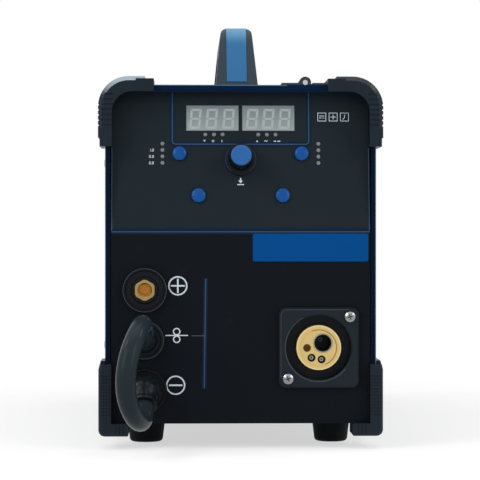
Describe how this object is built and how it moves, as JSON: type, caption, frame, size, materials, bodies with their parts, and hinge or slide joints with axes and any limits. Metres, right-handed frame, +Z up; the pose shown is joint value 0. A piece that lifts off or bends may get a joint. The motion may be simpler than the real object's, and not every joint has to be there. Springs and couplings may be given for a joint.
{
  "type": "mig welding machine",
  "caption": "Portable MIG welding machine with a leaning control panel, two weld sockets, a polarity lead, a torch socket, corner bumpers, a carrying handle and a hinged wire-feeder door",
  "frame": {"origin": "on the floor under the middle of the machine", "axes": "+X to the right seen from the controls, +Y from the controls to the back, +Z up"},
  "size_m": [0.2228, 0.5783, 0.3459],
  "materials": {
    "case_blue": "semi-gloss fine-textured enamel",
    "panel_black": "moulded, satin",
    "film_black": "printed film, satin",
    "rubber_black": "moulded, matt",
    "strip_blue": "moulded, satin",
    "button_blue": "moulded, satin",
    "display_grey": "smoked window",
    "lamp_clear": "clear lens",
    "brass": "turned, slightly aged",
    "steel": "zinc plated",
    "alloy": "cast or extruded",
    "board_green": "circuit board",
    "core_brown": "wound and varnished"
  },
  "bodies": {
    "case": {"base_tray": "case_blue", "front_frame": "case_blue", "front_panel": "panel_black", "control_film": "film_black", "rear_frame": "case_blue", "rear_panel": "panel_black", "left_cover": "case_blue", "center_divider": "steel", "front_upper_bumpers": "rubber_black", "front_lower_bumpers": "rubber_black", "rear_upper_bumpers": "rubber_black", "rear_lower_bumpers": "rubber_black", "feet": "rubber_black", "case_screws": "steel", "handle_body": "panel_black", "handle_strip": "strip_blue", "hinge_leaves_fixed": "panel_black", "hinge_pins": "steel", "displays": "display_grey", "indicator_lamps": "lamp_clear", "control_board": "board_green", "weld_sockets": "panel_black", "socket_contacts": "brass", "lead_gland": "rubber_black", "polarity_lead": "rubber_black", "polarity_plug": "rubber_black", "torch_flange": "panel_black", "torch_body": "brass", "torch_pins": "panel_black", "torch_screws": "steel", "feed_plate": "alloy", "feed_motor": "steel", "wire_guides": "brass", "spool_axle": "steel", "fan_frame": "panel_black", "heatsink": "alloy", "power_board": "board_green", "transformer": "core_brown", "switch_body": "panel_black", "gas_inlet": "brass", "mains_gland": "panel_black"},
    "door": {"side_door": "case_blue", "hinge_leaves_door": "panel_black"},
    "latch": {"door_latch": "panel_black"},
    "wire_size_button": {"button_wire_size": "button_blue"},
    "process_button": {"button_process": "button_blue"},
    "jog_button": {"button_jog": "button_blue"},
    "purge_button": {"button_purge": "button_blue"},
    "plunger": {"encoder_plunger": "steel"},
    "knob": {"adjust_knob": "panel_black", "knob_cap": "button_blue"},
    "drive": {"drive_roll": "steel"},
    "idler": {"idler_roll": "steel"},
    "arm": {"pressure_arm": "panel_black"},
    "bolt": {"tension_bolt": "steel"},
    "bolt_knob": {"tension_knob": "panel_black"},
    "hub": {"spool_hub": "panel_black"},
    "nut": {"hub_nut": "strip_blue"},
    "fan": {"fan_rotor": "panel_black"},
    "rocker": {"switch_rocker": "panel_black"}
  },
  "joints": [
    {"name": "door_swing", "type": "hinge", "parent": "case", "child": "door", "pos_m": [0.053, -0.007, 0.2898], "axis": [0, -1, 0], "range_deg": [0, 110]},
    {"name": "latch_turn", "type": "hinge", "parent": "door", "child": "latch", "pos_m": [0.106, -0.007, 0.0535], "axis": [1, 0, 0], "range_deg": [0, 90]},
    {"name": "adjust_push", "type": "slide", "parent": "case", "child": "plunger", "axis": [0, 0.9925, -0.1219], "range_m": [0, 0.0008], "stiffness_N_per_m": 2500},
    {"name": "adjust_turn", "type": "hinge", "parent": "plunger", "child": "knob", "pos_m": [0, -0.22411, 0.22608], "axis": [0, 0.9925, -0.1219], "continuous": true},
    {"name": "wire_size_press", "type": "slide", "parent": "case", "child": "wire_size_button", "axis": [0, 0.9925, -0.1219], "range_m": [0, 0.0012], "stiffness_N_per_m": 1500},
    {"name": "process_press", "type": "slide", "parent": "case", "child": "process_button", "axis": [0, 0.9925, -0.1219], "range_m": [0, 0.0012], "stiffness_N_per_m": 1500},
    {"name": "jog_press", "type": "slide", "parent": "case", "child": "jog_button", "axis": [0, 0.9925, -0.1219], "range_m": [0, 0.0012], "stiffness_N_per_m": 1500},
    {"name": "purge_press", "type": "slide", "parent": "case", "child": "purge_button", "axis": [0, 0.9925, -0.1219], "range_m": [0, 0.0012], "stiffness_N_per_m": 1500},
    {"name": "rocker_tilt", "type": "hinge", "parent": "case", "child": "rocker", "pos_m": [0.058, 0.2155, 0.2295], "axis": [-1, 0, 0], "range_deg": [0, 18]},
    {"name": "fan_spin", "type": "hinge", "parent": "case", "child": "fan", "pos_m": [-0.048, 0.202, 0.1695], "axis": [0, 1, 0], "continuous": true},
    {"name": "drive_spin", "type": "hinge", "parent": "case", "child": "drive", "pos_m": [0.061, -0.133, 0.064], "axis": [1, 0, 0], "continuous": true},
    {"name": "arm_lift", "type": "hinge", "parent": "case", "child": "arm", "pos_m": [0.0525, -0.169, 0.0973], "axis": [1, 0, 0], "range_deg": [0, 60]},
    {"name": "idler_spin", "type": "hinge", "parent": "arm", "child": "idler", "pos_m": [0.061, -0.133, 0.0913], "axis": [1, 0, 0], "continuous": true},
    {"name": "bolt_swing", "type": "hinge", "parent": "case", "child": "bolt", "pos_m": [0.0525, -0.097, 0.065], "axis": [-1, 0, 0], "range_deg": [-50, 0]},
    {"name": "tension_turn", "type": "hinge", "parent": "bolt", "child": "bolt_knob", "pos_m": [0.0525, -0.097, 0.065], "axis": [0, 0.766, 0.6428], "range_deg": [-180, 180]},
    {"name": "hub_spin", "type": "hinge", "parent": "case", "child": "hub", "pos_m": [0.04, 0.0712, 0.138], "axis": [1, 0, 0], "continuous": true},
    {"name": "nut_turn", "type": "hinge", "parent": "case", "child": "nut", "pos_m": [0.0767, 0.0712, 0.138], "axis": [1, 0, 0], "range_deg": [-180, 180]}
  ],
  "couplings": [
    {"joint": "idler_spin", "follows": "drive_spin", "ratio": -1.25}
  ]
}
